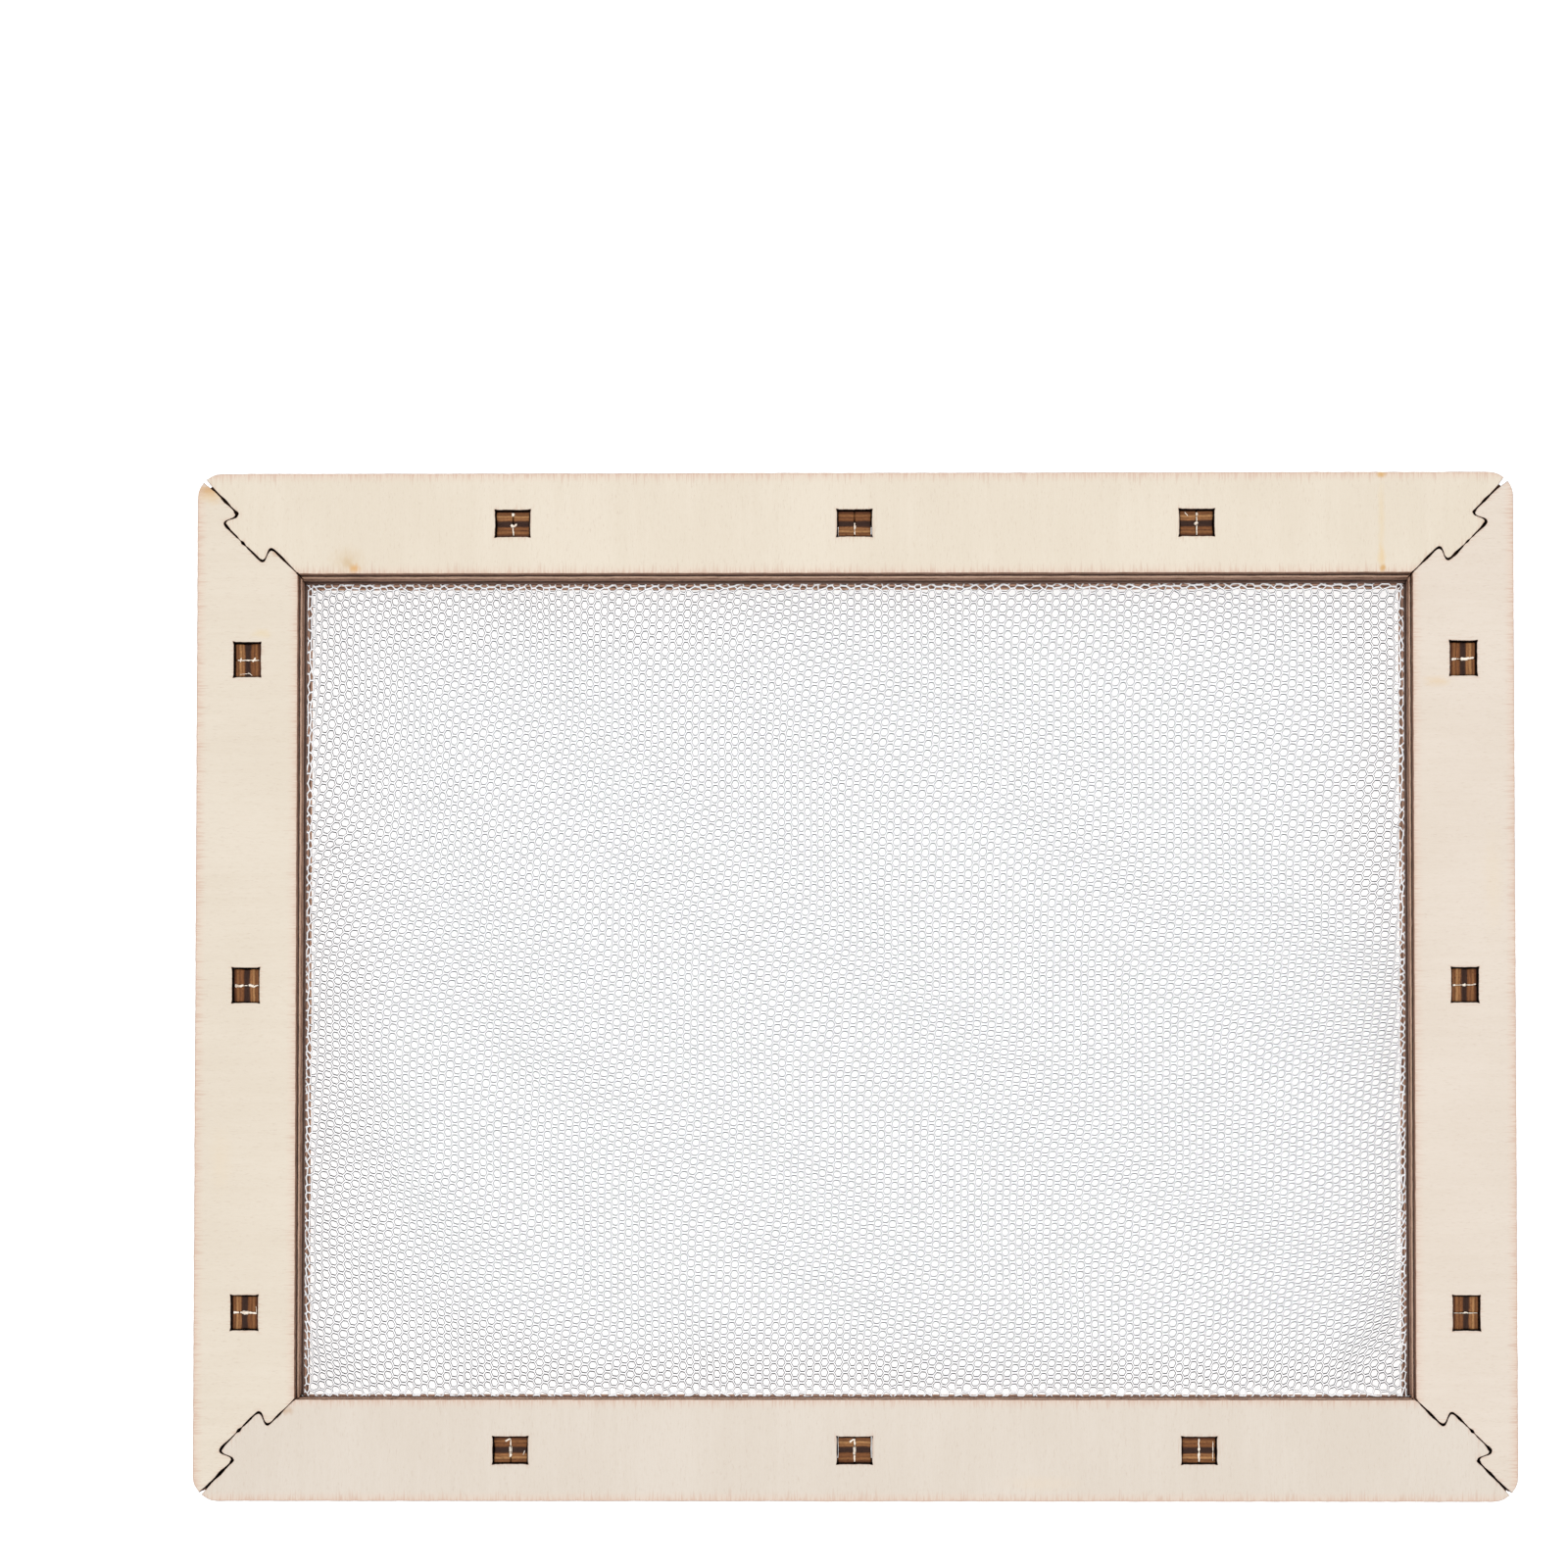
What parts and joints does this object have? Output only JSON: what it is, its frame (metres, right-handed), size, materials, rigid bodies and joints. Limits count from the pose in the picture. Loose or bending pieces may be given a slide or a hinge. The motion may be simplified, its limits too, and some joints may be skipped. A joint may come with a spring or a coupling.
{
  "type": "queen cage",
  "caption": "Shallow rectangular screened frame of layered laser-cut plywood rails with keyed mitres, split pegs and a hexagonal net clamped between the layers.",
  "frame": {"origin": "middle of the back face, the plane that the frame lies on", "axes": "+X along the long rails towards the right rail, +Y towards the top rail, +Z out of the front face"},
  "size_m": [0.1516, 0.1186, 0.009],
  "materials": {
    "front_plywood": "bare birch face, charred cut edges",
    "middle_plywood": "bare, only its charred cut edges show",
    "back_plywood": "bare birch face, charred cut edges",
    "peg_plywood": "bare, charred cut edges",
    "net": "white hexagonal tulle"
  },
  "bodies": {
    "root": {"front_rail_top": "front_plywood", "front_rail_bottom": "front_plywood", "front_rail_left": "front_plywood", "front_rail_right": "front_plywood", "middle_rail_top": "middle_plywood", "middle_rail_bottom": "middle_plywood", "middle_rail_left": "middle_plywood", "middle_rail_right": "middle_plywood", "back_rail_top": "back_plywood", "back_rail_bottom": "back_plywood", "back_rail_left": "back_plywood", "back_rail_right": "back_plywood", "net_panel": "net", "peg_top_left": "peg_plywood", "peg_top_middle": "peg_plywood", "peg_top_right": "peg_plywood", "peg_bottom_left": "peg_plywood", "peg_bottom_middle": "peg_plywood", "peg_bottom_right": "peg_plywood", "peg_left_upper": "peg_plywood", "peg_left_middle": "peg_plywood", "peg_left_lower": "peg_plywood", "peg_right_upper": "peg_plywood", "peg_right_middle": "peg_plywood", "peg_right_lower": "peg_plywood"}
  },
  "joints": []
}
